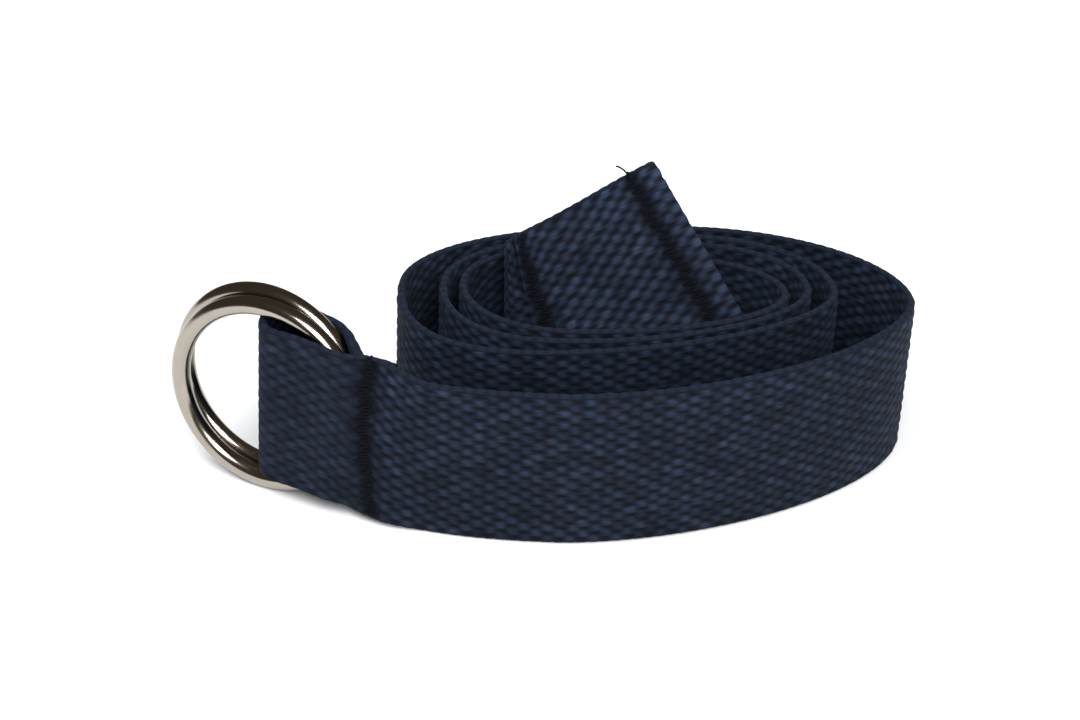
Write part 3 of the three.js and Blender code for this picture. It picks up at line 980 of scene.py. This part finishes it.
# %% Cotton yarn group
def make_yarn_group():
    group = bpy.data.node_groups.new("cotton_yarn", "ShaderNodeTree")
    for kind, names in GROUP_INPUTS.items():
        for name in names:
            group.interface.new_socket(name, in_out="INPUT", socket_type="NodeSocket" + kind)
    group.interface.new_socket("Color", in_out="OUTPUT", socket_type="NodeSocketColor")
    group.interface.new_socket("Height", in_out="OUTPUT", socket_type="NodeSocketFloat")
    given = group.nodes.new("NodeGroupInput").outputs
    result = group.nodes.new("NodeGroupOutput").inputs

    flat_cloth = add_node(group, "UVMap", {}, uv_map="cloth").outputs["UV"]
    stretch = add_node(group, "Mapping", {"Vector": flat_cloth, "Scale": STREAK_STRETCH})
    streaks = noise_node(group, stretch.outputs["Vector"], 1.0, 3.0)
    body_place = add_node(group, "TexCoord", {}).outputs["Object"]
    tints = add_node(group, "ValToRGB", {"Fac": noise_node(group, body_place, TINT_SCALE, 2.0)})
    stops = tints.color_ramp.elements
    stops.new(0.5)
    for stop, (position, color) in zip(stops, TINT_STOPS):
        stop.position = position
        stop.color = color

    # Painted shade and light: the relief mixes the pit colour into the crown colour, dark in the pits
    # and light on the crowns.
    depth = math_node(group, "POWER", "crowns stand out", given["Relief"], CROWN_SHARPNESS)
    base = color_mix(group, depth, given["Pit Color"], given["Crown Color"])
    tinted = color_mix(group, given["Tint Strength"], base, tints.outputs["Color"], "MULTIPLY")
    streak = range_node(group, streaks, (0.25, 0.75), STREAK_LIGHT)
    patches = noise_node(group, body_place, PATCH_SCALE, 3.0)
    patch = range_node(group, patches, (0.3, 0.7), PATCH_LIGHT)
    # The tone holds each bump's own random tone, with the painted light and the painted seam shade
    # laid into it.
    tone = range_node(group, given["Tone"], (0.0, 1.0), BUMP_LIGHT, clamped=False)
    uneven = math_node(group, "MULTIPLY", "patches and bumps", patch, tone)
    light = math_node(group, "MULTIPLY", "with streaks", streak, uneven)
    grey = add_node(group, "CombineColor", {"Red": light, "Green": light, "Blue": light})
    streaked = color_mix(group, given["Streak Strength"], tinted, grey.outputs["Color"], "MULTIPLY")
    group.links.new(streaked, result["Color"])
    group.links.new(streaks, result["Height"])
    return group


yarn_group = make_yarn_group()
print("cotton yarn group with", len(yarn_group.nodes), "nodes")

# %% [markdown]
# ## Webbing and thread materials
# Both are a rough, slightly fuzzy surface. A little sheen gives the pale bloom that cotton has at
# a grazing angle. The colour could be picked once from the picture, but a colour in a photograph
# already holds the light on it. So the dye was set by comparing renders with the picture, and the
# colour of the pits, a painted shade between the yarns, is a seventh of the crowns'.

# %% Materials of the cloth
FINE_DEPTH = 0.0002
COTTON_SURFACE = {
    "Roughness": 0.85,
    "Specular IOR Level": 0.1,
    "Sheen Weight": 0.03,
    "Sheen Roughness": 0.5,
    "Sheen Tint": (0.5, 0.6, 0.85, 1),
}


def surface_bump(tree, height, strength):
    """A bump finer than the mesh, for the shader's normal."""
    bump = add_node(tree, "Bump", {"Height": height, "Strength": strength, "Distance": FINE_DEPTH})
    return bump.outputs["Normal"]


def cotton_material(name, relief, pit, crown, tint, streak, bump):
    """Cotton with a given relief or, if that is None, the relief and tone of the mesh's points."""
    material, tree, shader = new_material(name)
    tone = EVEN_TONE
    if relief is None:
        relief, tone = (
            add_node(tree, "Attribute", {}, attribute_name=label).outputs["Fac"]
            for label in ("relief", "tone")
        )
    looks = {"Relief": relief, "Tone": tone, "Pit Color": (*pit, 1), "Crown Color": (*crown, 1)}
    looks.update({"Tint Strength": tint, "Streak Strength": streak})
    yarn = add_node(tree, "Group", looks, node_tree=yarn_group)
    tree.links.new(yarn.outputs["Color"], shader["Base Color"])
    tree.links.new(surface_bump(tree, yarn.outputs["Height"], bump), shader["Normal"])
    for socket, value in COTTON_SURFACE.items():
        shader[socket].default_value = value
    return material


# The relief mixes these two: painted shade in the pits, a painted highlight on the crowns.
webbing_cloth = cotton_material(
    "webbing_cloth",
    relief=None,
    pit=(0.0020, 0.0028, 0.0052),
    crown=(0.0130, 0.0190, 0.0345),
    tint=0.6,
    streak=0.8,
    bump=0.4,
)
seam_thread = cotton_material(
    "seam_thread",
    relief=0.5,
    pit=(0.0015, 0.0019, 0.003),
    crown=(0.0034, 0.0045, 0.0092),
    tint=0.2,
    streak=0.5,
    bump=0.3,
)
for piece in strap_pieces:
    piece.data.materials.append(webbing_cloth)
print("materials:", webbing_cloth.name, seam_thread.name)

# %% [markdown]
# ## Stitches
# The loop and the hem are closed with a dense zigzag in nearly black thread, sunk into the
# cloth, so that from a little away each seam looks like a dark, wavering band. A curve with a
# round profile would do, but a swept tube keeps its points under control. Each stitch dips into
# the cloth at the needle hole and arches over the yarns in between.

# %% Tubes and points on the cloth
TUBE_SIDES = 6
NEARLY_UPRIGHT = 0.9


def tube(path, radius):
    """Points and faces of a closed tube along a path, in millimetres."""
    path = np.asarray(path, float)
    heading = unit(np.gradient(path, axis=0))
    side = unit(np.cross(heading[0], UP if abs(heading[0][2]) < NEARLY_UPRIGHT else loop_axis))
    points = []
    for spot, direction in zip(path, heading):
        side = unit(side - direction * side.dot(direction))
        other = np.cross(direction, side)
        for k in range(TUBE_SIDES):
            angle = 2 * math.pi * k / TUBE_SIDES
            points.append(spot + radius * (math.cos(angle) * side + math.sin(angle) * other))
    faces = []
    for i in range(len(path) - 1):
        for k in range(TUBE_SIDES):
            a = i * TUBE_SIDES + k
            b = i * TUBE_SIDES + (k + 1) % TUBE_SIDES
            faces.append([a, b, b + TUBE_SIDES, a + TUBE_SIDES])
    faces.append(list(range(TUBE_SIDES))[::-1])
    faces.append(list(range((len(path) - 1) * TUBE_SIDES, len(path) * TUBE_SIDES)))
    return points, faces


def cloth_point(station, height, off_middle):
    """A point off the strap's middle surface, at a station along it and a height across it."""
    row = np.interp(station, stations, np.arange(len(stations)))
    place = height / WEBBING_WIDTH * (RIB_POINTS - 1)
    i, j = int(min(row, len(stations) - 2)), int(min(place, RIB_POINTS - 2))
    s, t = row - i, place - j

    def read(grid):
        lower = grid[i, j] * (1 - s) * (1 - t) + grid[i + 1, j] * s * (1 - t)
        return lower + grid[i, j + 1] * (1 - s) * t + grid[i + 1, j + 1] * s * t

    return read(surface) + read(along_normals) * off_middle


def add_threads(name, tubes):
    """One piece of many tubes, in seam thread, that moves with the strap."""
    points, faces = [], []
    for made, joined in tubes:
        faces += [[len(points) + k for k in face] for face in joined]
        points += made
    threads = add_mesh(name, points, faces)
    threads.data.materials.append(seam_thread)
    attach(threads, "strap")
    return threads


print("a tube has", TUBE_SIDES, "sides")

# %% Zigzag seams
STITCH_PITCH = 0.8
STITCH_SWING = 1.9
THREAD_RADIUS = 0.25
STITCH_PARTS = 4
SEAM_MARGIN = 0.9
THREAD_SUNK = 0.5
THREAD_ARCH = 0.27
STITCH_WANDER = 0.09
SWING_RANGE = (0.6, 1.25)
thread_chance = np.random.default_rng(7)


def zigzag(name, face):
    """The path of one face's thread, from the lower selvage to the upper one."""
    count = int((WEBBING_WIDTH - 2 * SEAM_MARGIN) / STITCH_PITCH)
    wander = np.cumsum(thread_chance.normal(0, STITCH_WANDER, count + 1))
    wander -= np.linspace(wander[0], wander[-1], count + 1)
    swings = STITCH_SWING * thread_chance.uniform(*SWING_RANGE, count + 1)
    path = []
    for k in range(count):
        side = 1 if k % 2 else -1
        for part in range(STITCH_PARTS):
            share = part / STITCH_PARTS
            height = SEAM_MARGIN + (k + share) * STITCH_PITCH
            swing = side * mix(swings[k], swings[k + 1], share) * (1 - 2 * share)
            along = seam_place(name, height) + swing + mix(wander[k], wander[k + 1], share)
            off = (THREAD_SUNK + THREAD_ARCH * math.sin(share * math.pi)) * WEBBING_THICKNESS / 2
            path.append(cloth_point(along, height, face * off))
    return path


def seam_tube(name):
    """The loop's seams show on the outer face, those of the hem on the turned, inner one."""
    return tube(zigzag(name, 1 if name.startswith("loop") else -1), THREAD_RADIUS)


seams = add_threads("seam_stitches", [seam_tube(name) for name in seam_stations])
print("stitches:", len(seams.data.polygons) * 2, "triangles")

# %% [markdown]
# ## Loose ends
# Sewing leaves traces. A thread end with a small knot stands off the tip seam's upper end, and a
# dark tuft stands on top of the loop's seam. Hair particles could do it, but these few ends have
# known places, so they are short tubes, each along a few points that start in the cloth.

# %% Loose thread and tuft
LOOSE_RADIUS = 0.2
KNOT_RADIUS = 0.34
TUFT_RADIUS = 0.3
THREAD_START = ((0, -0.9, -0.3), (0.0, -0.3, -0.1), (0.3, 0.5, 0.0))
THREAD_END = ((0.6, 1.4, 0.1), (1.1, 2.2, 0.2), (1.7, 2.8, 0.3))
KNOT_FRONT = ((-0.3, -0.4, -0.1), (0.3, -0.5, 0.1), (0.5, 0.1, 0.2))
KNOT_BACK = ((0.0, 0.4, 0.1), (-0.4, 0.1, 0.1), (0.1, -0.3, 0.0))
TUFT = ((0, -0.8, -0.2), (0.1, 0.0, 0.3), (0.4, 0.7, 0.5), (1.0, 1.3, 0.4))
SHORT_TUFT = ((0.5, -0.8, -0.2), (0.3, 0.1, 0.5), (-0.2, 0.8, 0.8))


def thread_from(station, below_edge, face, steps, radius):
    """A tube from near the upper edge, by steps of (along, up the width, off the face)."""
    height = WEBBING_WIDTH - below_edge
    surface_off = WEBBING_THICKNESS / 2
    path = [cloth_point(station + a, height + u, face * (surface_off + o)) for a, u, o in steps]
    return tube(path, radius)


tip_front = seam_stations["tip_front"]
loop_seam_top = float(seam_place("loop_front", WEBBING_WIDTH))
loose_tubes = [
    thread_from(tip_front, 0.3, -1, THREAD_START + THREAD_END, LOOSE_RADIUS),
    thread_from(tip_front, 0.35, -1, KNOT_FRONT + KNOT_BACK, KNOT_RADIUS),
    thread_from(loop_seam_top, 0.4, 1, TUFT, TUFT_RADIUS),
    thread_from(loop_seam_top, 0.4, 1, SHORT_TUFT, TUFT_RADIUS),
]
loose_threads = add_threads("loose_threads", loose_tubes)
print(loose_threads.name, len(loose_threads.data.polygons), "faces")

# %% [markdown]
# ## Rings
# The rings are bent from round wire, welded and nickel plated. They are plain, so everything
# that the eye sees on them is the room: a fine mesh with smooth shading mirrors it cleanly.
# A torus from Blender's own menu would do, but building it here puts the weld in: the wire
# swells slightly where its ends were joined, and the plating is a little rougher there.

# %% Ring meshes
RING_STEPS = 192
WIRE_STEPS = 32
WELD_SWELL = 0.035
WELD_WIDTH = math.radians(3.2)
WELD_PLACES = {"ring_front": math.radians(18), "ring_back": math.radians(-25)}


def add_ring(name, side):
    centre, level, rising = ring_frame(side)
    normal = np.cross(level, rising)
    angles = 2 * math.pi * np.arange(RING_STEPS) / RING_STEPS
    turns = 2 * math.pi * np.arange(WIRE_STEPS) / WIRE_STEPS
    from_weld = (angles - WELD_PLACES[name] + math.pi) % (2 * math.pi) - math.pi
    weld = np.exp(-((from_weld / WELD_WIDTH) ** 2))
    radial = np.cos(angles)[:, None] * level + np.sin(angles)[:, None] * rising
    wire = RING_WIRE / 2 * (1 + WELD_SWELL * weld)
    ring_line = centre + belt_place + radial * RING_MIDDLE
    out = radial[:, None] * np.cos(turns)[None, :, None] + normal * np.sin(turns)[None, :, None]
    points = ring_line[:, None] + out * wire[:, None, None]
    start = np.arange(RING_STEPS * WIRE_STEPS).reshape(RING_STEPS, WIRE_STEPS)
    ahead = np.roll(start, -1, axis=0)
    quads = np.stack([start, ahead, np.roll(ahead, -1, axis=1), np.roll(start, -1, axis=1)], axis=-1)
    ring = add_mesh("plated_" + name, points.reshape(-1, 3), quads.reshape(-1, 4).tolist())
    add_values(ring, "weld", np.repeat(weld, WIRE_STEPS))
    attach(ring, name)
    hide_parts(name)
    return ring


rings = [add_ring("ring_front", -1), add_ring("ring_back", 1)]
print("rings:", [len(ring.data.polygons) * 2 for ring in rings], "triangles each")

# %% [markdown]
# ## Nickel plate
# Nickel is a warm, slightly yellow mirror. It is polished but handled: its gloss, its colour and
# its smoothness vary in soft patches, and the weld is duller. A map of scratches could carry
# more, but from here only the patches show, so one noise drives all three. The metal's own
# values stay on the shader.

# %% Nickel material
WEAR_SCALE = 160.0
WEAR_BUMP = 0.06
GLOSS_RANGE = (0.12, 0.24)
WELD_DULLNESS = 0.15
BRIGHT_PLATE = (0.42, 0.385, 0.335, 1)
RUBBED_PLATE = (0.36, 0.32, 0.27, 1)


def make_nickel():
    material, tree, shader = new_material("nickel_plate")
    shader["Metallic"].default_value = 1.0
    place = add_node(tree, "TexCoord", {}).outputs["Object"]
    wear = noise_node(tree, place, WEAR_SCALE, 4.0)
    gloss = range_node(tree, wear, (0.3, 0.7), GLOSS_RANGE)
    weld = add_node(tree, "Attribute", {}, attribute_name="weld").outputs["Fac"]
    at_weld = math_node(tree, "MULTIPLY", "duller at the weld", weld, WELD_DULLNESS)
    rough = math_node(tree, "ADD", "with rubbed patches", at_weld, gloss)
    tree.links.new(rough, shader["Roughness"])
    tree.links.new(color_mix(tree, wear, BRIGHT_PLATE, RUBBED_PLATE), shader["Base Color"])
    tree.links.new(surface_bump(tree, wear, WEAR_BUMP), shader["Normal"])
    return material


nickel = make_nickel()
for ring in rings:
    ring.data.materials.append(nickel)
print("rings in", nickel.name)
